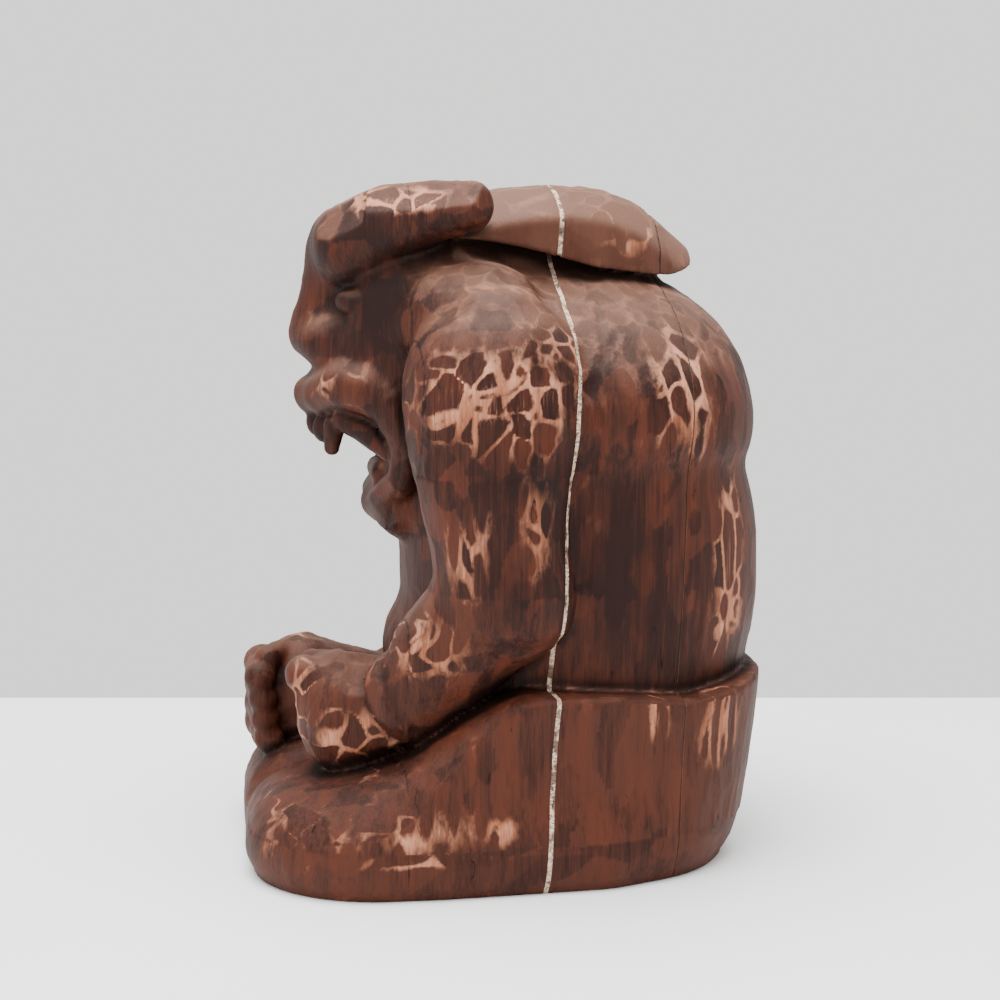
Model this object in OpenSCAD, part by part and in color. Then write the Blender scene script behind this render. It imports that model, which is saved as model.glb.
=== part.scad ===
// Crouching guardian figure, carved from a stack of upright boards glued face to face.
// The figure faces -Y, its left hand is on +X, and it rests on Z = 0.

/* [Lap] */
// Width across the folded legs
lap_w = 260; // [248:1:266]
// Depth of the whole figure, from the knees to the back
figure_d = 278; // [270:1:286]
// Height of the lap at the knees
knee_h = 48; // [44:1:52]
// Height of the lap at the waist
waist_h = 98; // [92:1:104]
// Corner radius of the knees, seen from above
knee_r = 70; // [64:1:74]
// Corner radius of the seat, seen from above
seat_r = 76; // [70:1:80]

/* [Back] */
// Widest part of the back
back_w = 230; // [220:1:240]
// Height of the back, under the hair
back_top = 304; // [300:1:308]

/* [Arms] */
// Distance from the middle of the figure to the middle of a shoulder
shoulder_x = 88; // [84:1:92]
// Height of the middle of a shoulder
shoulder_z = 251; // [246:1:256]
// Half the fore-and-aft size of a shoulder
shoulder_r = 48; // [45:1:51]
// Radius of the elbow
elbow_r = 36; // [33:1:38]
// Radius of the wrist cuff
cuff_r = 27; // [25:1:29]
// Distance from the middle of the figure to the middle of a fist
fist_x = 55; // [50:1:58]

/* [Head] */
// Reach of the nose in front of the origin
nose_reach = 112; // [108:1:116]
// Height of the nose tip
nose_z = 269; // [265:1:273]
// Height of the top of the brow ridges
brow_top = 352; // [349:1:355]
// Half the span of the brow ridges, at their swept-back ends
brow_x = 72; // [66:1:76]
// Half the width of the hair where it is widest
hair_x = 52; // [46:1:58]

/* [Boards and joints] */
// Front joint: its distance in front of the origin, at the floor
front_joint = 73; // [71:1:75]
// Middle joint: its distance in front of the origin, at the floor
middle_joint = 3; // [1:1:5]
// Rear joint: its distance behind the origin, at the floor
rear_joint = 67; // [65:1:69]
// Thickness of the filler in the middle joint
filler_t = 2.4; // [1.6:0.2:3.2]
// Thickness of the glue in the rear joint
glue_t = 0.6; // [0.4:0.1:1]

/* [Dowels] */
// Diameter of a locating dowel
dowel_d = 12; // [10:1:14]
// Length of a locating dowel
dowel_l = 44; // [36:2:48]
// Clearance round a dowel
dowel_gap = 0.3; // [0.2:0.1:0.5]

/* [Hidden] */

round_fn = 24;        // facets round a carved form
plan_fn = 40;         // facets round the lap and the back
slice = 0.01;         // thickness of one level of a stacked form
reach = 400;          // larger than the figure, for cutting it

half_d = figure_d / 2;
lap_x = lap_w / 2;
knee_at = [lap_x - knee_r, knee_r - half_d];
thigh_r = 44;
thigh_at = [lap_x - thigh_r - 6, 24];
hip_r = 42;
hip_at = [lap_x - hip_r - 8, 12];
seat_at = [lap_x - seat_r - 12, half_d - seat_r - 5];
// Levels of a corner of the lap: height, and how far it is set in from its full radius
knee_levels = [[0, 7], [5, 2], [14, 0], [knee_h - 22, 5], [knee_h - 11, 18], [knee_h, 36]];
thigh_levels = [[0, 5], [6, 1], [knee_h - 10, 0], [knee_h + 8, 6], [knee_h + 18, 16]];
hip_levels = [[0, 5], [6, 1], [waist_h / 2, 0], [waist_h, 2]];
seat_levels = [[0, 22], [8, 17], [20, 12], [waist_h / 2, 6], [waist_h - 2, 0]];

// Levels of the back: height, middle, half width, half depth
back_x = back_w / 2;
back_levels = [[waist_h - 16, 40, back_x - 14, half_d - 53],
               [waist_h + 34, 43, back_x - 9, half_d - 43],
               [waist_h + 68, 42, back_x - 4, half_d - 43],
               [back_top - 90, 39, back_x, half_d - 42],
               [back_top - 62, 37, back_x - 4, half_d - 43],
               [back_top - 34, 35, back_x - 23, half_d - 51],
               [back_top - 14, 32, back_x - 49, half_d - 65],
               [back_top, 26, 34, 50]];
belly = [0, -22, 104];
belly_r = [66, 41, 40];

shoulder = [shoulder_x, -12, shoulder_z];
collar = [58, -22, shoulder_z + 32];
upper_arm = [shoulder_x + 9, -14, shoulder_z - 53];
elbow = [shoulder_x + 9, -8, 146];
// Each arm from its elbow down: middles of the elbow, the forearm, the cuff and the fist
left_arm = [elbow, [shoulder_x - 3, -35, 116], [shoulder_x - 13, -58, 90], [fist_x, -87, 78]];
right_arm = [elbow + [-4, 12, -6], [shoulder_x - 6, -22, 90], [shoulder_x - 14, -54, 62],
             [fist_x - 3, -106, 68]];

// Radii along each arm
collar_r = [40, 40, 32];
shoulder_radii = [shoulder_r - 2, shoulder_r, shoulder_r];
upper_arm_r = 36;
forearm_r = 30;
wrist_r = cuff_r - 3;
back_of_hand_r = [34, 27, 28];
fist_r = [37, 31, 34];
cuff_l = 8;

skull = [0, -36, 280];
skull_r = [64, 60, 58];
forehead = [0, -80, brow_top - 34];
forehead_r = [30, 20, 24];
// Cheeks and jaw: the middle and the radii of the upper and lower ends of each
cheeks = [[[0, -54, 250], [58, 46, 50]], [[0, -30, 214], [54, 42, 46]]];
jaw = [[[0, -36, 190], [44, 33, 32]], [[0, -12, 204], [52, 40, 40]]];
nose_tip = [0, 17 - nose_reach, nose_z];
nose_tip_r = 16;
nose_root = [0, 20 - nose_reach, nose_z + 42];
nose_root_r = 13;
nostril = nose_tip + [15, 4, -3];
nostril_r = [12, 13, 12];
// The left half of the upper lip, from the middle to the corner of the mouth
lip = [0, 27 - nose_reach, nose_z - 31];
lip_stops = [[lip, [26, 23, 16]], [lip + [32, 8, -2], [18, 21, 15]],
             [lip + [48, 30, -14], [16, 16, 16]], [lip + [42, 42, -40], [14, 14, 14]]];
mouth = [0, -80, 205];
mouth_r = [37, 27, 13];
tooth_x = [6, 18];
tooth_at = [0, -92, 223];
tooth_r = [6.5, 7, 9];
tusk = [[[30, -87, 223], 7], [[30, -88, 211], 3]];
// The left brow ridge, from the forehead to its swept-back end
brow_stops = [[[20, -76, brow_top - 33], 21], [[38, -60, brow_top - 23], 20],
              [[brow_x - 12, -36, brow_top - 16], 16], [[brow_x - 2, -24, brow_top - 14], 13]];
// The hair: its ridge, as distance behind the origin and height, and its left edge
hair_ridge = [[-22, 336], [5, 339], [25, 340], [55, 336], [77, 325], [91, 314]];
hair_ridge_r = 12;
hair_edge = [[hair_x - 10, -22, 333], [hair_x - 8, 15, 324], [hair_x - 12, 42, 317],
             [hair_x - 28, 82, 309]];
hair_edge_r = 8;
// What joins the hair to the back: the middle and radii of its front and rear ends
hair_root = [[[0, -20, 308], [40, 30, 26]], [[0, 62, 300], [28, 26, 20]]];

// How far each joint leans back for each unit of height, and how far all three are askew
// for each unit across the figure
front_lean = 0.044;
middle_lean = 0.074;
rear_lean = 0.036;
askew = 0.1;

// Dowels: across the figure, height
front_pegs = [[-18, 262], [18, 262], [-82, 34], [82, 34]];
middle_pegs = [[-55, 52], [55, 52], [0, 150], [0, 262]];
rear_pegs = [[-55, 48], [55, 48], [0, 150], [0, 245]];

// Where each joint lies at the middle of the floor
front_y = -front_joint;
middle_y = -middle_joint;
middle_front = middle_y - filler_t / 2;
middle_rear = middle_y + filler_t / 2;
rear_front = rear_joint - glue_t / 2;
rear_rear = rear_joint + glue_t / 2;
split_z = 150;        // the two parts of the front board, between the fists and the chin

dowel_fn = 48;
hole_fn = 32;
hole_r = dowel_d / 2 + dowel_gap;

wood = "#5c3a2c";
dark_wood = "#4b3026";
pale = "#d8c2b0";
glue = "#2a1a14";
peg_wood = "#c09a6b";

// An ellipsoid: its middle and its three radii, or one radius
module ball(at, r) {
    translate(at) scale(is_list(r) ? r : [r, r, r]) sphere(r = 1, $fn = round_fn);
}

// A limb that tapers from one ball to the next
module limb(a, ra, b, rb) {
    hull() {
        ball(a, ra);
        ball(b, rb);
    }
}

module both_sides() {
    children();
    mirror([1, 0, 0]) children();
}

// One rounded corner of the lap, as discs of changing radius
module lap_corner(at, r, levels) {
    for (l = levels)
        translate([at[0], at[1], max(0, l[0] - slice)])
            cylinder(h = slice, r = r - l[1], $fn = plan_fn);
}

// The folded legs: one broad block, low over the knees, with a step up to the waist
module lap() {
    hull() both_sides() {
        lap_corner(knee_at, knee_r, knee_levels);
        lap_corner(thigh_at, thigh_r, thigh_levels);
    }
    hull() both_sides() {
        lap_corner(hip_at, hip_r, hip_levels);
        lap_corner(seat_at, seat_r, seat_levels);
    }
}

// The hunched back and chest
module back() {
    hull()
        for (l = back_levels)
            translate([0, l[1], l[0] - slice])
                scale([l[2], l[3], 1]) cylinder(h = slice, r = 1, $fn = plan_fn);
}

// A whole arm, bent at the elbow, with its fist resting on the lap
module arm(at) {
    limb(collar, collar_r, shoulder, shoulder_radii);
    limb(shoulder, shoulder_radii, upper_arm, upper_arm_r);
    limb(upper_arm, upper_arm_r, at[0], elbow_r);
    limb(at[0], elbow_r, at[1], forearm_r);
    limb(at[1], forearm_r, at[2], wrist_r);
    limb(at[2], wrist_r, at[3], back_of_hand_r);
    ball(at[3], fist_r);
    cuff_band(at[2], at[3] - at[1]);
}

// The raised band round the wrist, square to the forearm
module cuff_band(at, along) {
    translate(at)
        rotate([0, acos(along[2] / norm(along)), atan2(along[1], along[0])])
            cylinder(h = cuff_l, r = cuff_r, center = true, $fn = round_fn);
}

module brow() {
    hull()
        for (stop = brow_stops)
            ball(stop[0], stop[1]);
}

module nose() {
    limb(nose_root, nose_root_r, nose_tip, nose_tip_r);
    both_sides() ball(nostril, nostril_r);
}

// The upper lip, which sweeps back and down round the open mouth
module upper_lip() {
    for (i = [1 : len(lip_stops) - 1])
        limb(lip_stops[i - 1][0], lip_stops[i - 1][1], lip_stops[i][0], lip_stops[i][1]);
}

module teeth() {
    for (x = tooth_x)
        ball(tooth_at + [x, 0, 0], tooth_r);
    limb(tusk[0][0], tusk[0][1], tusk[1][0], tusk[1][1]);
}

module head() {
    ball(skull, skull_r);
    ball(forehead, forehead_r);
    limb(cheeks[0][0], cheeks[0][1], cheeks[1][0], cheeks[1][1]);
    limb(jaw[0][0], jaw[0][1], jaw[1][0], jaw[1][1]);
    nose();
    both_sides() {
        brow();
        upper_lip();
        teeth();
    }
}

// The hair: a thick slab swept back over the hunch, with a core that grows out of the back
module hair() {
    hull() {
        for (p = hair_ridge)
            ball([0, p[0], p[1]], hair_ridge_r);
        both_sides()
            for (p = hair_edge)
                ball(p, hair_edge_r);
    }
    limb(hair_root[0][0], hair_root[0][1], hair_root[1][0], hair_root[1][1]);
}

// Everything that the carver left standing, less the open mouth
module figure() {
    lap();
    back();
    ball(belly, belly_r);
    arm(left_arm);
    mirror([1, 0, 0]) arm(right_arm);
    difference() {
        head();
        ball(mouth, mouth_r);
    }
    hair();
}

// Where a joint plane lies at a point across the figure and up it
function joint_y(at, lean, x, z) = at + askew * x + lean * z;

// The space behind a joint plane
module behind(at, lean) {
    multmatrix([[1, 0, 0, 0], [askew, 1, lean, at], [0, 0, 1, 0], [0, 0, 0, 1]])
        translate([-reach / 2, 0, -reach / 4]) cube([reach, reach, 2 * reach]);
}

// One board's share of the figure, between two joint planes
module board(front_at, front_lean, rear_at, rear_lean) {
    difference() {
        intersection() {
            figure();
            behind(front_at, front_lean);
        }
        behind(rear_at, rear_lean);
    }
}

// Dowels, or their holes, that run square to the boards through one joint
module pegs(list, at, lean, r, fn) {
    for (p = list)
        translate([p[0], joint_y(at, lean, p[0], p[1]) + dowel_l / 2, p[1]])
            rotate([90, 0, 0]) cylinder(h = dowel_l, r = r, $fn = fn);
}

module front_holes() pegs(front_pegs, front_y, front_lean, hole_r, hole_fn);
module middle_holes() pegs(middle_pegs, middle_y, middle_lean, hole_r, hole_fn);
module rear_holes() pegs(rear_pegs, rear_joint, rear_lean, hole_r, hole_fn);

module front_board() {
    difference() {
        figure();
        behind(front_y, front_lean);
        front_holes();
    }
}

module face_block() {
    color(wood) intersection() {
        front_board();
        translate([-reach / 2, -reach, split_z]) cube([reach, 2 * reach, reach]);
    }
}

module lap_block() {
    color(wood) difference() {
        front_board();
        translate([-reach / 2, -reach, split_z]) cube([reach, 2 * reach, reach]);
    }
}

module chest_block() {
    color(wood) difference() {
        board(front_y, front_lean, middle_front, middle_lean);
        front_holes();
        middle_holes();
    }
}

module middle_block() {
    color(dark_wood) difference() {
        board(middle_rear, middle_lean, rear_front, rear_lean);
        middle_holes();
        rear_holes();
    }
}

module back_block() {
    color(wood) difference() {
        intersection() {
            figure();
            behind(rear_rear, rear_lean);
        }
        rear_holes();
    }
}

module middle_filler() {
    color(pale) difference() {
        board(middle_front, middle_lean, middle_rear, middle_lean);
        middle_holes();
    }
}

module rear_glue_line() {
    color(glue) difference() {
        board(rear_front, rear_lean, rear_rear, rear_lean);
        rear_holes();
    }
}

module front_dowels() {
    color(peg_wood) pegs(front_pegs, front_y, front_lean, dowel_d / 2, dowel_fn);
}

module middle_dowels() {
    color(peg_wood) pegs(middle_pegs, middle_y, middle_lean, dowel_d / 2, dowel_fn);
}

module rear_dowels() {
    color(peg_wood) pegs(rear_pegs, rear_joint, rear_lean, dowel_d / 2, dowel_fn);
}

face_block();
lap_block();
chest_block();
middle_block();
back_block();
middle_filler();
rear_glue_line();
front_dowels();
middle_dowels();
rear_dowels();
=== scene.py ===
import math

import bmesh
import bpy
import numpy as np
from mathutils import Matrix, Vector
from mathutils.geometry import delaunay_2d_cdt


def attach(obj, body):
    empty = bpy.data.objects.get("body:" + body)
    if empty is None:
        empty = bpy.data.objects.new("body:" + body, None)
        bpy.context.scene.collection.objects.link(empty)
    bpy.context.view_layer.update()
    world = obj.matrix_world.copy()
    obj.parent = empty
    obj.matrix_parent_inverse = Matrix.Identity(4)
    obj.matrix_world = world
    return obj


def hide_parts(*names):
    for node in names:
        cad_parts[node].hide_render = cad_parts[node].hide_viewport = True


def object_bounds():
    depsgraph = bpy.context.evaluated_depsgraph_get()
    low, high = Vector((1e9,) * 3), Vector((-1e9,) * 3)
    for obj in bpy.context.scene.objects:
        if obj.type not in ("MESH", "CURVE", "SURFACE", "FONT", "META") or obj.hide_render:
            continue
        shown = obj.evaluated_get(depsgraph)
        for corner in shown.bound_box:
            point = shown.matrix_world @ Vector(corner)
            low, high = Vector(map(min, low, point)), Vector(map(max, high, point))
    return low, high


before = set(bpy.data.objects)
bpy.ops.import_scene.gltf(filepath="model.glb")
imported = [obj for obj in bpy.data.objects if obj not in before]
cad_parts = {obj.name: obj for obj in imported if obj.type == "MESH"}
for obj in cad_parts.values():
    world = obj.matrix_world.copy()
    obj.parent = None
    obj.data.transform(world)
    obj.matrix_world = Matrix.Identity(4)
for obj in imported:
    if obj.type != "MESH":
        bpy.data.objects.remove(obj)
cad_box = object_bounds()


# The carved form. The figure is chopped from one blank of four upright boards, so its forms run
# across the joints. It is worked out once, as a solid that forms are added to and pared from,
# in millimetres, and the boards are sawn from it further down.
MM = 0.001
CELL = 1.47         # spacing of the points at which the solid is known
SKIRT = 14          # how far round a form its distance is worked out
MARGIN = 5          # how far the grid goes on past the part's own box
EMPTY = 30          # the distance of a point that no form has come near
lowest, highest = (np.array(corner) / MM for corner in cad_box)
axes = [np.arange(a - MARGIN, b + MARGIN + CELL, CELL, dtype=np.float32)
        for a, b in zip(lowest, highest)]
solid = np.full([len(a) for a in axes], EMPTY, np.float32)


def near(low, high):
    """The part of the grid within SKIRT of a box: its slices, and its x, y and z to broadcast."""
    cut = tuple(slice(max(0, np.searchsorted(a, p - SKIRT) - 1), np.searchsorted(a, q + SKIRT) + 1)
                for a, p, q in zip(axes, low, high))
    return cut, [a[c].reshape([-1 if i == j else 1 for j in range(3)])
                 for i, (a, c) in enumerate(zip(axes, cut))]


def blend_less(a, b, k):
    """The lesser of two distances, rounded where they are within k: less (k - gap)^2 / 4k."""
    return np.minimum(a, b) - np.maximum(k - np.abs(a - b), 0) ** 2 / (4 * k)


def grow(form, k):
    """Adds a form to the solid, with a fillet of about k."""
    cut, at = near(*form[:2])
    solid[cut] = blend_less(solid[cut], form[2](*at), k)


def pare(form, k):
    """Takes a form out of the solid, with an edge eased by about k."""
    cut, at = near(*form[:2])
    solid[cut] = -blend_less(-solid[cut], form[2](*at), k)


def egg(q, r):
    """Distance from an ellipsoid, near enough: k0 (k0 - 1) / k1 from the scaled offset q."""
    k0 = np.sqrt(sum(c * c for c in q))
    return k0 * (k0 - 1) / (np.sqrt(sum((c / s) ** 2 for c, s in zip(q, r))) + 1e-6)


def ball(at, r):
    """An ellipsoid: its middle and its one or three radii."""
    at, r = np.array(at, float), np.ones(3) * r
    return at - r, at + r, lambda *p: egg([(c - a) / s for c, a, s in zip(p, at, r)], r)


def limb(a, ra, b, rb):
    """A form that runs from one ellipsoid to another, its radii changing evenly between them."""
    a, b, ra, rb = np.array(a, float), np.array(b, float), np.ones(3) * ra, np.ones(3) * rb
    run = b - a

    def distance(*p):
        t = sum((c - s) * d for c, s, d in zip(p, a, run)) / (run @ run)
        t = np.clip(t, 0, 1).astype(np.float32)
        r = [s + t * (e - s) for s, e in zip(ra, rb)]
        return egg([(c - s - t * d) / w for c, s, d, w in zip(p, a, run, r)], r)
    return np.minimum(a - ra, b - rb), np.maximum(a + ra, b + rb), distance


def chop(at, facing, within):
    """What one flat stroke of a wide chisel takes off: beyond a plane, within a round reach."""
    at, facing = np.array(at, float), np.array(facing, float)
    facing = facing / np.linalg.norm(facing)

    def distance(x, y, z):
        beyond = -sum((c - a) * n for c, a, n in zip((x, y, z), at, facing))
        reach = np.sqrt(sum((c - a) ** 2 for c, a in zip((x, y, z), at))) - within
        return np.maximum(beyond, reach)
    return at - within, at + within, distance


def eased(at, levels, column, spread=8):
    """One column of a list of levels against its first, joined up and smoothed over spread."""
    levels = np.array(levels, float)
    steps = np.linspace(-spread, spread, 9)
    return sum(np.interp(at + s, levels[:, 0], levels[:, column]) for s in steps) / len(steps)


def barrel(levels, power=2.3, side=1):
    """A body of ovals, one at each height z: |(x - cx) / rx|^power + |(y - cy) / ry|^power = 1.
    A level is z, cx, cy, rx, ry, and the levels between are joined up smoothly."""
    low = [min(side * v[1] - v[3] for v in levels), min(v[2] - v[4] for v in levels), levels[0][0]]
    high = [max(side * v[1] + v[3] for v in levels), max(v[2] + v[4] for v in levels), levels[-1][0]]

    def distance(x, y, z):
        cx, cy, rx, ry = (eased(z, levels, c, 12).astype(np.float32) for c in (1, 2, 3, 4))
        oval = np.abs((x - side * cx) / rx) ** power + np.abs((y - cy) / ry) ** power
        ends = np.maximum(levels[0][0] - z, z - levels[-1][0])
        return -blend_less((1 - oval ** (1 / power)) * np.minimum(rx, ry), -ends, 8)
    return low, high, distance


def chain(stops, side=1):
    """One form from the limbs that join a list of stops, each a middle and its radii."""
    stops = [(on(side, at), r) for at, r in stops]
    limbs = [limb(*a, *b) for a, b in zip(stops, stops[1:])]
    return (np.min([f[0] for f in limbs], 0), np.max([f[1] for f in limbs], 0),
            lambda *p: np.minimum.reduce([f[2](*p) for f in limbs]))


def on(side, point):
    """A point on the figure's left (1) or right (-1)."""
    return (side * point[0], *point[1:])


LAP_ROUNDS = [(60, -69, 70), (80, 24, 44), (42, 58, 76)]
LAP_TOP = [(-145, 46), (-100, 49), (-70, 57), (-58, 63), (-44, 74), (-25, 89), (0, 100), (60, 96),
           (84, 93), (112, 96), (140, 103)]
LAP_EASE = [(-145, 34), (-70, 32), (-35, 28), (-10, 16), (16, 6), (140, 4)]
FRONT_INSET = [(0, 6), (4, 2.5), (10, 0.5), (18, 0), (32, 2), (48, 6), (70, 7), (100, 4)]
SEAT_INSET = [(0, 21), (8, 16), (20, 11), (49, 6), (96, 1), (110, 0)]


def lap():
    """The folded legs: in plan the hull of six rounds, drawn in at each height, under a top
    that climbs from the knees to the waist and is rounded less and less on the way."""
    turns = np.radians(np.arange(0, 360, 5))

    def distance(x, y, z):
        plan = np.full(np.broadcast_shapes(x.shape, y.shape), -1e3, np.float32)
        for c, s in zip(np.cos(turns), np.sin(turns)):
            reach = max(abs(c) * a + s * b + r for a, b, r in LAP_ROUNDS)
            plan = np.maximum(plan, x * c + y * s - reach)
        rear = np.clip((y - 45) / 60, 0, 1)
        inset = (1 - rear) * eased(z, FRONT_INSET, 1, 3) + rear * eased(z, SEAT_INSET, 1, 3)
        top = z - eased(y, LAP_TOP, 1)
        return -blend_less(-(plan + inset), -top, eased(y, LAP_EASE, 1)).astype(np.float32)
    return (-132, -140, 0), (132, 140, 102), distance


UPPER_ARM = [(128, 97, -9, 29, 30), (142, 97, -9, 33, 34), (160, 97, -10, 33.5, 34),
             (184, 96.5, -13, 34.5, 36), (206, 94, -14, 38, 40.5), (228, 91, -13, 42, 45),
             (248, 88, -12, 45, 47), (266, 86, -12, 43, 44), (280, 84, -12, 37, 37),
             (291, 82, -12, 27, 26), (298, 80, -12, 16, 14)]
# Each arm: elbow, forearm, cuff and fist, and the uppermost and the lowest of its four knuckles
LEFT_ARM = dict(elbow=(97, -8, 146), forearm=(85, -35, 116), cuff=(75, -58, 90),
                fist=(52, -84, 80), knuckles=((51, -106, 99), (56, -93, 63)))
RIGHT_ARM = dict(elbow=(93, 4, 140), forearm=(82, -22, 90), cuff=(74, -54, 62),
                 fist=(52, -106, 69), knuckles=((52, -127, 86), (54, -127, 52)))


def band(at, along, r, half, flare):
    """A raised band: a short drum of radius r square to a line, wider towards its arm end."""
    at, along = np.array(at, float), np.array(along, float) / np.linalg.norm(along)

    def distance(*p):
        t = sum((c - a) * n for c, a, n in zip(p, at, along))
        off = np.sqrt(sum((c - a - t * n) ** 2 for c, a, n in zip(p, at, along)))
        return -blend_less(-(off - r - flare * t / half), -(np.abs(t) - half), 3)
    return at - r - half, at + r + half, distance


def arm(side, elbow, forearm, cuff, fist, knuckles):
    """One arm, from its curled fingers and thumb back past the cuff to the collar. The back of
    the hand has its flats chopped before the rest of the arm is there."""
    cuff, hand = np.array(on(side, cuff), float), np.array(on(side, fist), float)
    line = np.array(on(side, forearm), float) - hand
    grow(limb(cuff, 22, hand, (29, 28, 33)), 1.2)
    first, last = (np.array(on(side, k), float) for k in knuckles)
    for t in (0, 1 / 3, 2 / 3, 1):
        knuckle = first + t * (last - first)
        tip = knuckle + (side * -27, -2 + 5 * t, -4)
        grow(limb(knuckle, 10, tip, 9), 2.2)
        grow(limb(knuckle, 10, hand + (side * 6, 6, 14 - 28 * t), 14), 4)
    grow(limb(hand + (side * 8, 2, 22), 11, hand + (side * -18, -18, 22), 8.5), 2)
    pare(chop(hand + (side * 17, -8, 24), (side * 0.66, -0.12, 0.74), 60), 1.5)
    pare(chop(hand + (side * 26, -8, -2), (side * 0.96, -0.25, -0.12), 60), 1.5)
    grow(band(cuff, line, 25, 6.5, 2), 1)
    grow(limb(on(side, forearm), 29, cuff + line * 0.12, 24), 1)
    grow(limb(on(side, elbow), (32, 32, 34), on(side, forearm), 29), 3)
    grow(ball(on(side, elbow), (33, 34, 36)), 3)
    grow(barrel(UPPER_ARM, 2.15, side), 6)


arm(1, **LEFT_ARM)
arm(-1, **RIGHT_ARM)
grow(lap(), 1)
pare(limb((0, -150, 38), 13, (0, -70, 66), 15), 14)

LOWER_BACK = [(78, 0, 40, 96, 88), (100, 0, 41, 100, 91), (132, 0, 43, 102, 96),
              (170, 0, 42, 104, 96), (198, 0, 40, 105, 93), (214, 0, 38, 104, 88),
              (236, 0, 36, 96, 78)]
UPPER_BACK = [(196, 0, 38, 98, 88), (210, 0, 38, 108, 95), (226, 0, 38, 113, 98),
              (246, 0, 36, 112, 97), (268, 0, 34, 99, 91), (288, 0, 31, 76, 78),
              (302, 0, 27, 46, 58), (312, 0, 24, 26, 40)]
grow(barrel(LOWER_BACK), 2)
grow(barrel(UPPER_BACK), 5)
grow(ball((0, -22, 104), (66, 41, 40)), 6)

grow(limb((-52, -20, 280), (40, 40, 32), (52, -20, 280), (40, 40, 32)), 8)

# The head: skull, cheeks, jaw and throat, less the open mouth, then the features on both sides
grow(ball((0, -36, 280), (62, 60, 58)), 6)
grow(limb((-14, -82, 318), (18, 19, 22), (14, -82, 318), (18, 19, 22)), 10)
grow(limb((0, -54, 250), (56, 44, 46), (0, -32, 214), (52, 36, 46)), 8)
grow(limb((-20, -44, 183), (24, 27, 20), (20, -44, 183), (24, 27, 20)), 6)
grow(ball((0, -14, 196), (58, 44, 44)), 8)
pare(limb((-56, -86, 214), (14, 25, 20), (56, -86, 214), (14, 25, 20)), 3)
grow(chain([((0, -87, 312), 15), ((0, -92, 290), (15, 15, 16)), ((0, -94, 273), (18, 18, 16))]), 8)
UPPER_LIP = [((0, -92, 240), (15, 16.5, 12.5)), ((20, -90, 242), (14, 15, 13)),
             ((36, -84, 247), 13.5), ((46, -73, 245), 13), ((51, -63, 238), 11),
             ((54, -56, 226), 10), ((53, -53, 212), 9)]
LOWER_LIP = [((48, -55, 200), 9), ((27, -61, 187), (11, 10.5, 9)),
             ((0, -63, 184), (12, 10.5, 9))]
BROW = [((24, -80, 319), (24, 20, 22)), ((40, -60, 330), (22, 20, 20)),
        ((54, -38, 336), (18, 17, 16)), ((66, -22, 338), (13, 12, 13.5))]
UNDER_BROW = [(40, -97, 301), (52, -84, 306), (62, -57, 314), (68, -36, 320), (72, -16, 326)]
for side in (1, -1):
    grow(ball(on(side, (15, -92, 268)), (14, 14, 12)), 9)
    grow(ball(on(side, (21, -76, 261)), (15, 15, 13)), 8)
    pare(ball(on(side, (38, -88, 292)), (17, 9, 11)), 8)
    grow(ball(on(side, (33, -79, 290)), (12, 9.5, 7.5)), 3)
    grow(chain(UPPER_LIP + LOWER_LIP, side), 5)
    grow(chain(BROW, side), 3)
    pare(chain([(at, 3) for at in UNDER_BROW], side), 2.5)
    pare(chop(on(side, (73, -14, 339.5)), on(side, (0.75, 0.62, 0.15)), 22), 1)
    pare(chop(on(side, (51.9, -66.5, 341.9)), on(side, (0.66, -0.36, 0.66)), 70), 1)
    pare(chop(on(side, (33, -91.6, 330)), on(side, (0.5, -0.62, 0.6)), 26), 1)
    pare(chop(on(side, (58.6, -67, 328)), on(side, (0.9, -0.42, -0.06)), 30), 2)
    for x, y, drop in ((7, -97, 226), (20, -94, 224)):
        grow(ball(on(side, (x, y, drop)), (6.6, 6.5, 8)), 1)
    grow(limb(on(side, (30, -89, 226)), 6.5, on(side, (30, -90.5, 214.5)), 4.4), 1)
    grow(limb(on(side, (37, -84, 229)), 6.5, on(side, (41, -72, 223)), 7.5), 1.5)
    grow(limb(on(side, (41, -72, 223)), 7.5, on(side, (43, -62, 213)), 6), 1.5)
grow(limb((-18, -60, 199), (8, 10.5, 9), (18, -60, 199), (8, 10.5, 9)), 2)
pare(limb((-16, -111, 254.5), 3.5, (16, -111, 254.5), 3.5), 3)

# The hair: a thick slab swept back over the hunch, undercut along both sides
HAIR_TOP = [(-40, 336), (-22, 344), (0, 349), (22, 352), (50, 350), (70, 343), (86, 332), (106, 313)]
HAIR_FOOT = [(-40, 322), (-10, 320), (15, 315), (45, 306), (86, 301), (106, 308)]
HAIR_SIDE = [(-40, 46), (-20, 50), (15, 53), (42, 50), (70, 41), (88, 30), (106, 14)]


def hair():
    """A slab between three curves along its length: the ridge of its top, which falls away as
    (x / side)^2, its half width, and its foot, which rises a little towards the middle."""
    def distance(x, y, z):
        top, foot, side = (eased(y, c, 1) for c in (HAIR_TOP, HAIR_FOOT, HAIR_SIDE))
        over = (z - top + 18 * np.abs(x / side) ** 2.6) * 0.85
        under = foot + 0.22 * (side - np.abs(x)) - z
        flank = -blend_less(side - np.abs(x), -np.maximum(y - 103, -30 - y), 4)
        return -blend_less(blend_less(-over, -under, 3), -flank, 3).astype(np.float32)
    return (-54, -32, 300), (54, 106, 352), distance


grow(limb((0, -20, 306), (38, 30, 26), (0, 58, 298), (28, 28, 20)), 6)
grow(hair(), 1.5)
solid = np.maximum(solid, -axes[2].reshape(1, 1, -1))


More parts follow.
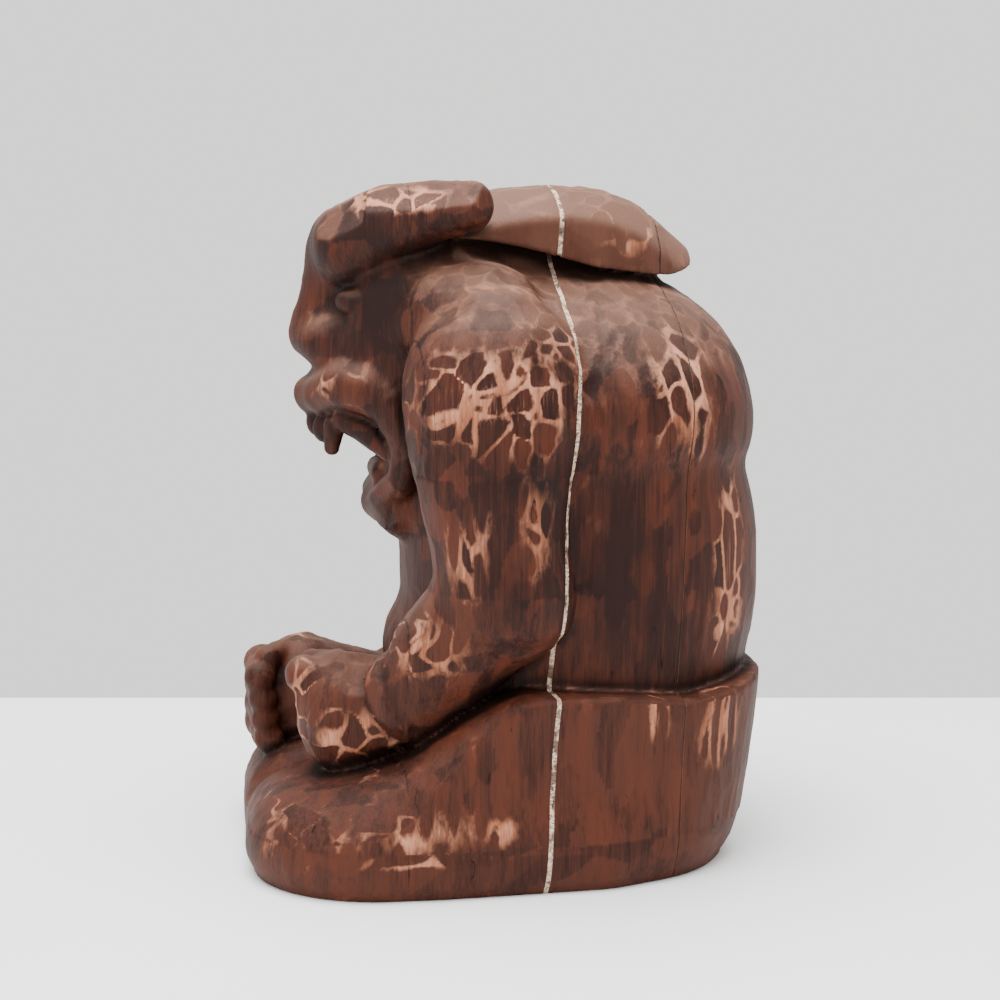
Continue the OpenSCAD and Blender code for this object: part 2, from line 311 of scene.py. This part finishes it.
def at_points(points):
    """The solid's distance at any points, from the eight grid values round each in proportion."""
    step = np.clip((points - [a[0] for a in axes]) / CELL, 0, np.array(solid.shape) - 1.001)
    base = step.astype(int)
    part = step - base
    total = np.zeros(len(points))
    for corner in np.ndindex(2, 2, 2):
        share = np.prod(np.where(corner, part, 1 - part), axis=1)
        total += share * solid[tuple((base + corner).T)]
    return total


def slope_at(points, step=CELL):
    """The direction in which the distance grows, from differences of it across 2 steps."""
    return np.stack([at_points(points + step * e) - at_points(points - step * e)
                     for e in np.eye(3)], 1) / (2 * step)


def skin():
    """The surface of the solid, as points and four-sided faces: one point in each cell that the
    surface crosses, at the mean of its edges' crossings, and one face round each crossed edge."""
    inside = solid < 0
    corners = sum(inside[tuple(slice(o, s - 1 + o) for o, s in zip(c, inside.shape))].astype(np.int8)
                  for c in np.ndindex(2, 2, 2))
    cells = np.argwhere((corners > 0) & (corners < 8))
    number = np.full(corners.shape, -1, np.int32)
    number[tuple(cells.T)] = np.arange(len(cells))
    total, count = np.zeros((len(cells), 3)), np.zeros(len(cells))
    for a in np.ndindex(2, 2, 2):
        for run in np.eye(3, dtype=int)[[i for i in range(3) if a[i] == 0]]:
            first, last = (solid[tuple((cells + c).T)] for c in (np.array(a), a + run))
            crossed = (first < 0) != (last < 0)
            t = np.where(crossed, first / np.where(crossed, first - last, 1), 0)
            total += np.where(crossed[:, None], cells + a + t[:, None] * run, 0)
            count += crossed
    points = total / count[:, None] * CELL + [a[0] for a in axes]
    faces = []
    for axis in range(3):
        u, v = np.eye(3, dtype=int)[[(axis + 1) % 3, (axis + 2) % 3]]
        edges = np.argwhere(np.diff(inside.astype(np.int8), axis=axis))
        ring = [number[tuple((edges - o).T)] for o in (u + v, v, u * 0, u)]
        outward = inside[tuple(edges.T)][:, None]
        faces.append(np.where(outward, np.stack(ring, 1), np.stack(ring[::-1], 1)))
    for _ in range(2):
        slope = slope_at(points)
        size = np.maximum((slope * slope).sum(1, keepdims=True), 0.2)
        shift = at_points(points)[:, None] * slope / size
        points = points - np.clip(shift, -CELL / 2, CELL / 2)
    return points, np.concatenate(faces)


# The dowels. The boards are pegged to one another with turned dowels of pale hardwood, each in
# blind holes a little wider than itself, so that nothing of them shows once it is glued up.
# A joint is the plane y = at + SKEW x + lean z, and its pegs are given by their x and z.
SKEW = 0.1
JOINTS = {"front": (-73, 0.044), "middle": (-3, 0.074), "rear": (67, 0.036)}
PEGS = {"front": [(-18, 262), (18, 262), (-82, 34), (82, 34)],
        "middle": [(-55, 52), (55, 52), (0, 150), (0, 262)],
        "rear": [(-55, 48), (55, 48), (0, 150), (0, 245)]}
HOLE_R, HOLE_REACH = 6.3, 16.5


def drilled(joint, x, z):
    """A blind hole across a joint, drilled along y, with round ends."""
    y = JOINTS[joint][0] + SKEW * x + JOINTS[joint][1] * z
    return limb((x, y - HOLE_REACH, z), HOLE_R, (x, y + HOLE_REACH, z), HOLE_R)


holes = [drilled(joint, *peg) for joint, pegs in PEGS.items() for peg in pegs]
for hole in holes:
    pare(hole, 0.3)


# The marks of the gouge. Every face is left as it was cut, in shallow bites side by side: long
# ones with the grain on the back, the arms and the legs, rounder ones on the head and the hands.
def chance(cell, seed):
    """A number from 0 to 1 for each cell: what is left after the point of 43758.5453 sin(its
    mix of the cell's three numbers and the seed)."""
    return np.abs(np.sin(cell @ (127.1, 311.7, 74.7) + 17.3 * seed) * 43758.5453) % 1


def bites(places, size, seed):
    """For each place, how far off the nearest of the scattered bites is, how much nearer it is
    than the next, both in bites, and that bite's own number from 0 to 1."""
    scaled = places / size
    base = np.floor(scaled)
    far_off = 9.0
    first, second = np.full(len(places), far_off), np.full(len(places), far_off)
    own = np.zeros(len(places))
    for step in np.ndindex(3, 3, 3):
        cell = base + step - 1
        middle = cell + 0.1 + 0.8 * np.stack([chance(cell, seed + k) for k in range(3)], 1)
        gap = np.sqrt(((scaled - middle) ** 2).sum(1))
        own = np.where(gap < first, chance(cell, seed + 3), own)
        second = np.where(gap < first, first, np.minimum(second, gap))
        first = np.minimum(first, gap)
    return first, second - first, own


def drift(places, size, seed):
    """A slow wander between -1 and 1: the mean of five sine waves that run different ways."""
    turns = np.random.default_rng(seed).normal(size=(5, 3)) / size
    return np.sin(places @ turns.T * 2.2 + np.arange(5) * 1.7).mean(axis=1) * 1.6


points, faces = skin()
x, y, z = points.T
outward = slope_at(points)
outward /= np.maximum(np.linalg.norm(outward, axis=1, keepdims=True), 1e-6)
off_hole = np.minimum.reduce([hole[2](x, y, z) for hole in holes])
off_joint = np.minimum.reduce([np.abs(y - at - SKEW * x - lean * z) for at, lean in JOINTS.values()])

on_lap = z < eased(y, LAP_TOP, 1) + 0.5
on_hand = ~on_lap & (z < 124) & (y < -56)
on_arm = ~on_lap & ~on_hand & (np.abs(x) > 66) & (y < 26 + 0.05 * z)
on_head = ~on_arm & (z > 170) & (y < -8)
on_hair = (z > 303) & (y > -30) & (np.abs(x) < 60)
on_back = ~(on_lap | on_hand | on_arm | on_head | on_hair)
on_knee = on_lap & (outward[:, 2] > 0.35)
CUTS = [(on_lap & (z < 24), (34, 30, 15), 0.9), (on_lap & (z >= 24), (9, 8, 30), 0.7),
        (on_knee, (19, 25, 19), 0.9),
        (on_hand, (16, 15, 14), 1.0), (on_arm & (z < 150), (14, 13, 15), 1.0),
        (on_arm & (z >= 150) & (z < 206), (9, 9, 26), 0.8),
        (on_arm & (z >= 206), (13, 12, 15), 1.1), (on_head, (20, 18, 16), 0.9),
        (on_hair, (26, 24, 20), 1.0), (on_back, (12, 11, 44), 0.8)]
BITE_DEPTH, BITE_REACH = 1.9, 0.85      # of a full bite, in millimetres, and as a share of its size
JOINT_DIP, JOINT_REACH = 0.45, 2.2      # how far the wood has sunk beside a joint, and how far off
sunk, rim, tone = (np.zeros(len(points)) for _ in range(3))
for seed, (where, size, depth) in enumerate(CUTS):
    there = points[where] + 0.28 * drift(points[where], 15, seed)[:, None] * size
    first, lead, own = bites(there, np.array(size, float), 5 * seed)
    deep = 0.55 + 0.45 * drift(points[where], 40, seed + 20)
    sunk[where] = BITE_DEPTH * depth * deep * np.clip(1 - (first / BITE_REACH) ** 2, 0, 1)
    rim[where] = lead * min(size) / 2
    tone[where] = own
sunk += JOINT_DIP * np.clip(1 - off_joint / JOINT_REACH, 0, 1)
sunk *= np.clip((off_hole - 0.5) / 3, 0, 1) * np.clip(z / 3, 0, 1)


def blotted(places):
    """A share from 0 to 1 over the skin, on both sides of the figure: much e^-q for the greatest
    of some places, where q is the square of the distance from one, as a share of its reach."""
    share = np.zeros(len(points))
    for at, reach, much in places:
        for side in (1, -1):
            off = (((points - on(side, at)) / reach) ** 2).sum(axis=1)
            share = np.maximum(share, much * np.exp(-off))
    return share


WORN = [((125, -20, 243), (60, 34, 24), 1.0), ((120, 6, 247), (30, 16, 10), 0.9),
        ((122, -29, 168), (30, 12, 26), 0.65), ((128, 5, 182), (30, 11, 24), 0.7),
        ((105, -47, 121), (40, 26, 18), 0.7), ((80, -80, 71), (34, 24, 16), 0.8),
        ((56, -106, 86), (14, 8, 24), 0.9), ((52, -56, 341), (24, 46, 7), 1.0),
        ((44, 64, 326), (16, 16, 12), 0.8), ((92, 79, 246), (40, 16, 34), 0.8),
        ((70, 109, 157), (40, 9, 46), 1.0), ((116, 66, 85), (26, 7, 13), 1.0),
        ((95, 101, 77), (30, 13, 19), 1.0), ((126, -61, 34), (40, 42, 12), 0.45),
        ((126, -56, 21), (40, 34, 3.5), 0.8), ((130, -15, 34), (30, 10, 8), 0.9),
        ((98, -122, 36), (40, 16, 26), 0.35), ((120, 20, 272), (50, 40, 12), 0.5),
        ((44, -96, 250), (30, 20, 12), 0.4)]
worn = blotted(WORN)
# Painted shadow: the places where shadow falls, between the arm and the back, round the elbow, under
# the brow, in the mouth and under the hair, are darkened in the wood's colour.
PAINTED_SHADOW_PLACES = [((128, 6, 205), (40, 30, 17), 1.0), ((104, 48, 150), (40, 40, 60), 0.8),
         ((128, -6, 146), (34, 16, 24), 0.8), ((128, 0, 236), (20, 20, 12), 0.3),
         ((50, -70, 296), (34, 50, 44), 0.9), ((30, -88, 218), (34, 24, 22), 1.0),
         ((96, 60, 270), (50, 40, 30), 0.6),
         ((90, -30, 210), (30, 20, 40), 0.6), ((118, 60, 30), (30, 30, 22), 0.5)]
painted_shadow = blotted(PAINTED_SHADOW_PLACES)
light = ((0.2 + 0.45 * np.clip((y + 20) / 80, 0, 1)) * on_lap + 1.3 * on_hair + 0.3 * on_hand
         + 0.25 * (on_arm & (z < 150)))
# hollow, how far the skin lies in a hollow at this reach, darkens the colour as painted shadow;
# edge, how sharply it rounds over, marks wear.
FEEL = 7            # how far in and out from the skin the wood is felt for, in millimetres
outside, beneath = at_points(points + FEEL * outward), at_points(points - FEEL * outward)
# The skin's upward slope, weaker on the lap and the hands, is kept as a painted sheen: light from
# above painted in as paler upward faces.
marks = dict(rim=rim, tone=tone, worn=worn, painted_shadow=painted_shadow, light=light, seam=off_joint,
             painted_top_sheen=np.clip(outward[:, 2], 0, 1) * np.where(on_lap, 0.15, np.where(on_hand, 0.6, 1)),
             hollow=np.clip(1 - outside / FEEL, 0, 1), edge=np.clip(1 + beneath / FEEL, 0, 1))
points = points - sunk[:, None] * outward


def carved(places):
    """The carved skin as one mesh in metres, with its marks as attributes of its points."""
    mesh = bpy.data.meshes.new("carved")
    mesh.from_pydata(places * MM, [], faces)
    mesh.polygons.foreach_set("use_smooth", np.ones(len(faces), bool))
    for name, values in marks.items():
        mesh.attributes.new(name, "FLOAT", "POINT").data.foreach_set("value", values)
    return mesh


# The stain. The wood is a mid brown hardwood, stained unevenly in dark brown with a red tinge.
# The stain has been rubbed off the ridges between the bites, and the wood is a little shiny from
# handling. Painted shadow darkens the hollows and the shadowed places, and a painted sheen of
# light from above makes upward faces paler.
class Number:
    """A number that varies over a surface: arithmetic on it adds the Math nodes."""

    def __init__(self, finish, socket):
        self.finish, self.socket = finish, socket

    def sum_with(self, operation, a, b=0.0):
        return self.finish.node("ShaderNodeMath", {"operation": operation}, {0: a, 1: b})

    def __add__(self, other):
        return self.sum_with("ADD", self, other)

    def __mul__(self, other):
        return self.sum_with("MULTIPLY", self, other)

    def __sub__(self, other):
        return self.sum_with("SUBTRACT", self, other)

    def __rsub__(self, other):
        return self.sum_with("SUBTRACT", other, self)

    def __abs__(self):
        return self.sum_with("ABSOLUTE", self)

    def or_more(self, other):
        return self.sum_with("MAXIMUM", self, other)

    __radd__, __rmul__ = __add__, __mul__


class Finish:
    """A material, of a name and a shine, which is how strongly it mirrors. Its nodes are made by
    one method, from a type, settings and inputs."""

    def __init__(self, name, shine):
        self.material = bpy.data.materials.new(name)
        self.material.use_nodes = True
        self.nodes, self.links = self.material.node_tree.nodes, self.material.node_tree.links
        self.shader = self.nodes["Principled BSDF"]
        self.shader.inputs["Specular IOR Level"].default_value = shine
        self.place = self.node("ShaderNodeTexCoord", {}, {}, "Object")

    def feed(self, socket, value):
        """Links a socket to a number or node output, or sets it."""
        if isinstance(value, Number):
            self.links.new(value.socket, socket)
        else:
            socket.default_value = value

    def node(self, kind, settings, inputs, out=0):
        """Makes a node, sets its settings, feeds its inputs, and gives one of its outputs."""
        made = self.nodes.new(kind)
        for key, value in settings.items():
            setattr(made, key, value)
        for key, value in inputs.items():
            self.feed(made.inputs[key], value)
        return Number(self, made.outputs[out])

    def mark(self, name):
        """One of the marks kept on the skin."""
        return self.node("ShaderNodeAttribute", {"attribute_name": name}, {}, "Fac")

    def noise(self, size, run=1.0, detail=3.0, seed=0.0):
        """Noise with grains of a size in millimetres, drawn out along z by run."""
        place = self.node("ShaderNodeMapping", {},
                          {"Vector": self.place, "Scale": (1, 1, 1 / run),
                           "Location": (seed, 0.7 * seed, 0)})
        return self.node("ShaderNodeTexNoise", {},
                         {"Vector": place, "Scale": 1 / (size * MM), "Detail": detail,
                          "Roughness": 0.6})

    def ease(self, value, low, high):
        """0 up to low, 1 from high, and a smooth climb between; low may be the greater."""
        return self.node("ShaderNodeMapRange", {"interpolation_type": "SMOOTHSTEP"},
                         {"Value": value, "From Min": low, "From Max": high})

    def mix(self, share, a, b):
        """Colour a turning to colour b."""
        return self.node("ShaderNodeMix", {"data_type": "RGBA"}, {0: share, 6: a, 7: b}, 2)

    def done(self, colour, roughness, height, depth):
        """Feeds the shader a colour, a roughness and a height, whose depth is in millimetres."""
        self.feed(self.shader.inputs["Base Color"], colour)
        self.feed(self.shader.inputs["Roughness"], roughness)
        bump = self.node("ShaderNodeBump", {}, {"Height": height, "Distance": depth * MM})
        self.feed(self.shader.inputs["Normal"], bump)
        return self.material


# Near black: for cracks, and for the painted shadow in hollows and shadowed places.
CRACK_AND_SHADOW_BLACK = (0.005, 0.002, 0.0016, 1)
DARK = (0.015, 0.0037, 0.0024, 1)
BROWN = (0.060, 0.0175, 0.0095, 1)
RED = (0.085, 0.016, 0.006, 1)
PALER_BROWN_AND_SHEEN = (0.135, 0.066, 0.044, 1)
ORANGE = (0.23, 0.076, 0.036, 1)
BARE = (0.44, 0.20, 0.125, 1)


def stained_wood():
    """Brown and dark brown in blotches and streaks, bare on worn ridges, with painted shadow in
    hollows and a painted sheen on tops.
    """
    wood = Finish("stained_wood", 0.13)
    blotch = wood.noise(46, 1.8, 4.0)
    stain = wood.noise(12, 4.0, 6.0, 3.0)
    band = wood.noise(4.5, 16.0, 4.0, 17.0)
    grain = wood.noise(1.3, 36.0, 3.0, 5.0)
    speck = wood.noise(2.2, 1.5, 4.0, 9.0)
    tone, rim, worn = wood.mark("tone"), wood.mark("rim"), wood.mark("worn")
    hollow, edge, seam = wood.mark("hollow"), wood.mark("edge"), wood.mark("seam")
    painted_top_sheen, painted_shadow, light = wood.mark("painted_top_sheen"), wood.mark("painted_shadow"), wood.mark("light")
    soak = 0.25 * blotch + 0.45 * stain + 0.5 * band + 0.6 * grain + 0.3 * tone - 0.07
    # The painted shadow turns the shadowed places darker brown.
    colour = wood.mix(wood.ease(soak + 0.3 * light - 0.3 * painted_shadow, 0.66, 1.26), DARK, BROWN)
    colour = wood.mix(wood.ease(stain + 0.3 * band + 0.2 * tone, 0.68, 1.05) * 0.5, colour, RED)
    # Upward faces are painted paler here, a painted sheen of light from above; the rest of this
    # paleness is the wood's own tone.
    pallor = painted_top_sheen + 0.45 * light + 0.5 * stain + 0.2 * tone
    colour = wood.mix(wood.ease(pallor, 0.65, 1.5) * 0.85, colour, PALER_BROWN_AND_SHEEN)
    # Painted shadow: the hollows and the shadowed places are darkened towards black. The seams of
    # the joints and some specks are darkened too, as the wood's own colour.
    painted_shadow_and_seams = wood.ease(hollow, 0.1, 0.95) * 0.85
    painted_shadow_and_seams = painted_shadow_and_seams.or_more(wood.ease(seam + 1.6 * speck, 1.5, 0.8) * 0.8)
    painted_shadow_and_seams = painted_shadow_and_seams.or_more(wood.ease(painted_shadow + 0.6 * blotch + 0.5 * stain, 0.95, 1.7) * 0.6)
    colour = wood.mix(painted_shadow_and_seams, colour, CRACK_AND_SHADOW_BLACK)
    ridge = wood.ease(rim + 1.2 * speck + 0.5 * grain + 1.6 * blotch - 1.65, 1.15, 0.4)
    rubbed = wood.ease(worn + 1.0 * stain + 0.6 * blotch + 0.3 * speck, 1.12, 1.6)
    streak = wood.ease(0.7 * worn + 0.9 * grain + 0.6 * band + 0.5 * stain, 1.6, 1.95) * 0.45
    fresh = wood.ease(tone + 0.4 * worn + 0.5 * stain, 1.46, 1.62) * 0.45
    bare = rubbed * ridge.or_more(streak).or_more(fresh)
    # Upward faces are also painted a little barer and paler on the ridges, as part of the painted
    # sheen.
    faint = wood.ease(0.4 * edge + 0.9 * stain + 0.5 * blotch + 0.3 * painted_top_sheen, 0.8, 1.3) * 0.34
    bare = bare.or_more(faint * ridge)
    pale = wood.mix(wood.ease(0.6 * stain + 0.5 * grain + 0.3 * painted_top_sheen, 0.42, 0.75), ORANGE, BARE)
    colour = wood.mix(bare * (1 - painted_shadow_and_seams), colour, pale)
    crack = wood.ease(abs(wood.noise(9, 90.0, 1.0, 13.0) - 0.5), 0.004, 0.001)
    crack = crack * wood.ease(wood.noise(24, 2.5, 2.0, 21.0) - 0.3 * painted_top_sheen, 0.55, 0.62)
    colour = wood.mix(crack * 0.85, colour, CRACK_AND_SHADOW_BLACK)
    roughness = 0.44 + 0.18 * grain + 0.12 * bare + 0.08 * blotch
    height = 0.45 * grain + 0.35 * band + 0.35 * speck - 1.2 * crack
    return wood.done(colour, roughness, height, 0.6)


def raw_wood(name, early, late, run=22.0):
    """Unstained wood, planed: fine pale lines along the grain, with wider and darker bands."""
    wood = Finish(name, 0.3)
    band = wood.noise(7, run, 2.0, 2.0)
    line = wood.noise(1.1, run, 3.0, 4.0)
    colour = wood.mix(wood.ease(0.6 * band + 0.5 * line, 0.4, 0.72), early, late)
    return wood.done(colour, 0.62 + 0.12 * line, line, 0.15)


# The boards. The figure was chopped from four upright boards: the front one is left as two
# pieces, face and lap, then chest, middle and back, each sawn flat where it meets the next.
stain_finish = stained_wood()
joint_finish = raw_wood("joint_face_wood", (0.34, 0.19, 0.10, 1), (0.20, 0.095, 0.045, 1))
HALF_FILLER, HALF_GLUE = 1.2, 0.3       # half the width of the middle and of the rear joint


def saw(work, joint, shift, keep_front):
    """Cuts along a joint's plane, moved back by shift, and closes the cut with flat faces."""
    at, lean = JOINTS[joint]
    facing = Vector((-SKEW, 1, -lean)) * (1 if keep_front else -1)
    cut = bmesh.ops.bisect_plane(work, geom=work.verts[:] + work.edges[:] + work.faces[:],
                                 dist=1e-7, plane_co=(0, (at + shift) * MM, 0), plane_no=facing,
                                 clear_outer=True)
    rims = [e for e in cut["geom_cut"] if isinstance(e, bmesh.types.BMEdge)]
    for e in rims:
        e.smooth = False
    corners = list(dict.fromkeys(v for e in rims for v in e.verts))
    number = {v: i for i, v in enumerate(corners)}
    outline = [[number[v] for v in e.verts] for e in rims]
    found = delaunay_2d_cdt([v.co.xz for v in corners], outline, [], 1, 1e-9)
    known = [face for face in found[2] if all(found[3][i] for i in face)]
    flats = [[found[3][i][0] for i in face] for face in known]
    middles = np.array([sum((corners[i].co for i in face), Vector()) / 3 for face in flats])
    for face, depth in zip(flats, at_points(middles / MM)):
        if depth < 0 and len(set(face)) == 3:
            made = work.faces.new([corners[i] for i in face])
            made.material_index = 1
            made.normal_update()
            if made.normal.dot(facing) < 0:
                made.normal_flip()


def board(name, nodes, slot, finishes, skin_mesh, cuts, levels=(-1, 1)):
    """A piece of the figure between saw cuts, kept where its height is within levels."""
    work = bmesh.new()
    work.from_mesh(skin_mesh)
    for cut in cuts:
        saw(work, *cut)
    stray = [v for v in work.verts if not levels[0] < v.co.z < levels[1]]
    bmesh.ops.delete(work, geom=stray, context="VERTS")
    mesh = bpy.data.meshes.new(name)
    work.to_mesh(mesh)
    work.free()
    for finish in finishes:
        mesh.materials.append(finish)
    piece = bpy.data.objects.new(name, mesh)
    bpy.context.scene.collection.objects.link(piece)
    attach(piece, "root")
    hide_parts(*nodes)


WAIST = 0.15        # the front board's two pieces are above and below this height, in metres
whole = carved(points)
wood = ("carved_wood", (stain_finish, joint_finish), whole)
board("carved_face", ["face_block"], *wood, [("front", 0, True)], (WAIST, 1))
board("carved_lap", ["lap_block"], *wood, [("front", 0, True)], (-1, WAIST))
board("carved_chest", ["chest_block"], *wood,
      [("middle", -HALF_FILLER, True), ("front", 0, False)])
board("carved_middle", ["middle_block"], *wood,
      [("rear", -HALF_GLUE, True), ("middle", HALF_FILLER, False)])
board("carved_back", ["back_block"], *wood, [("rear", HALF_GLUE, False)])


# The filler. The joint behind the arms had opened, and was packed with a pale plaster filler,
# which has shrunk, cracked across and crumbled a little below the faces of the wood.
def plaster():
    """Off-white plaster with a pink cast, cracked across and dirty in places."""
    filler = Finish("pale_plaster_filler", 0.2)
    grit = filler.noise(1.4, 1.0, 4.0, 31.0)
    dirt = filler.noise(9, 1.2, 3.0, 33.0)
    crack = filler.ease(abs(filler.noise(7, 0.35, 2.0, 35.0) - 0.5), 0.02, 0.004)
    colour = filler.mix(filler.ease(grit, 0.35, 0.65), (0.40, 0.27, 0.19, 1), (0.66, 0.52, 0.41, 1))
    colour = filler.mix(filler.ease(dirt, 0.5, 0.6) * 0.85, colour, (0.09, 0.05, 0.035, 1))
    colour = filler.mix(crack * 0.8, colour, CRACK_AND_SHADOW_BLACK)
    return filler.done(colour, 0.82 + 0.1 * grit, grit - 1.5 * crack, 0.5)


shrunk = points - (0.15 + 0.35 * np.clip(drift(points, 6, 61) + 0.3, 0, 1))[:, None] * outward
board("packed_filler", ["middle_filler"], "pale_filler", (plaster(), joint_finish), carved(shrunk),
      [("middle", HALF_FILLER, True), ("middle", -HALF_FILLER, False)])


# The glue line. The rear joint is tight, and shows as a hair line of old dark animal glue that
# lies a little below the faces of the two boards.
def old_glue():
    """Nearly black glue, glassy in places."""
    glue = Finish("old_dark_glue", 0.5)
    grit = glue.noise(3, 1.0, 3.0, 41.0)
    colour = glue.mix(glue.ease(grit, 0.4, 0.7), (0.012, 0.007, 0.005, 1), (0.035, 0.018, 0.011, 1))
    return glue.done(colour, 0.35 + 0.3 * grit, grit, 0.2)


glue_finish = old_glue()
board("old_glue_line", ["rear_glue_line"], "dark_glue", (glue_finish, glue_finish),
      carved(points - 0.7 * outward), [("rear", HALF_GLUE, True), ("rear", -HALF_GLUE, False)])


# The dowels' finish. They are the turned dowels of the frame as they stand, and only their wood
# is given here: pale, unstained, with its lines running across the boards' grain.
dowel_finish = raw_wood("turned_dowel_wood", (0.66, 0.50, 0.32, 1), (0.50, 0.35, 0.20, 1), 0.2)
for joint in PEGS:
    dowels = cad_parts[joint + "_dowels"]
    dowels.data.materials.clear()
    dowels.data.materials.append(dowel_finish)


# The floor, the light and the camera: a white table top that ends behind the figure, with an
# off-white room beyond it and wide soft lights above and in front.
def table_finish():
    """A smooth white board."""
    white = Finish("white_table", 0.3)
    haze = white.noise(160, 1.0, 2.0)
    colour = white.mix(haze, (0.86, 0.86, 0.855, 1), (0.89, 0.89, 0.885, 1))
    return white.done(colour, 0.5 + 0.1 * haze, haze, 0.01)


AZIMUTH, ELEVATION, DISTANCE = math.radians(83), math.radians(7), 1.15
LENS, SENSOR = 76.67, 36
LOOKED_AT, LIT = (0, 0.001, 0.182), (0, 0, 0.17)
toward = np.array([math.sin(AZIMUTH), -math.cos(AZIMUTH), 0])
sideways = np.array([math.cos(AZIMUTH), math.sin(AZIMUTH), 0])
TABLE_BACK, TABLE_FRONT, TABLE_HALF = -0.3355, 1.5, 1.5
ROW = 9             # points in a row of the table top
deep, wide = np.meshgrid(np.linspace(TABLE_BACK, TABLE_FRONT, ROW),
                         np.linspace(-TABLE_HALF, TABLE_HALF, ROW))
top = (deep[..., None] * toward + wide[..., None] * sideways).reshape(-1, 3)
start = np.arange(ROW * ROW).reshape(ROW, ROW)[:-1, :-1].reshape(-1)
table_mesh = bpy.data.meshes.new("table_top")
table_mesh.from_pydata(top, [], np.stack([start, start + 1, start + ROW + 1, start + ROW], 1))
table_mesh.materials.append(table_finish())
table = bpy.data.objects.new("table_top", table_mesh)
bpy.context.scene.collection.objects.link(table)


def soft_light(name, at, size, power):
    """A square light that faces the figure."""
    light = bpy.data.lights.new(name, "AREA")
    light.size, light.energy = size, power
    lamp = bpy.data.objects.new(name, light)
    lamp.location = at
    lamp.rotation_mode = "QUATERNION"
    lamp.rotation_quaternion = (Vector(LIT) - Vector(at)).to_track_quat("-Z", "Y")
    bpy.context.scene.collection.objects.link(lamp)


soft_light("ceiling_light", (0.15, -0.15, 1.7), 1.5, 80)
soft_light("window_light", (1.3, -1.1, 0.9), 1.2, 9)
room = bpy.data.worlds.new("off_white_room")
room.use_nodes = True
room.node_tree.nodes["Background"].inputs["Color"].default_value = (0.93, 0.93, 0.92, 1)
room.node_tree.nodes["Background"].inputs["Strength"].default_value = 1.5
bpy.context.scene.world = room

back = Vector((math.sin(AZIMUTH) * math.cos(ELEVATION), -math.cos(AZIMUTH) * math.cos(ELEVATION),
               math.sin(ELEVATION)))
camera = bpy.data.cameras.new("camera")
camera.sensor_width, camera.lens = SENSOR, LENS
viewer = bpy.data.objects.new("camera", camera)
viewer.location = Vector(LOOKED_AT) + DISTANCE * back
viewer.rotation_mode = "QUATERNION"
viewer.rotation_quaternion = (-back).to_track_quat("-Z", "Y")
bpy.context.scene.collection.objects.link(viewer)
bpy.context.scene.camera = viewer
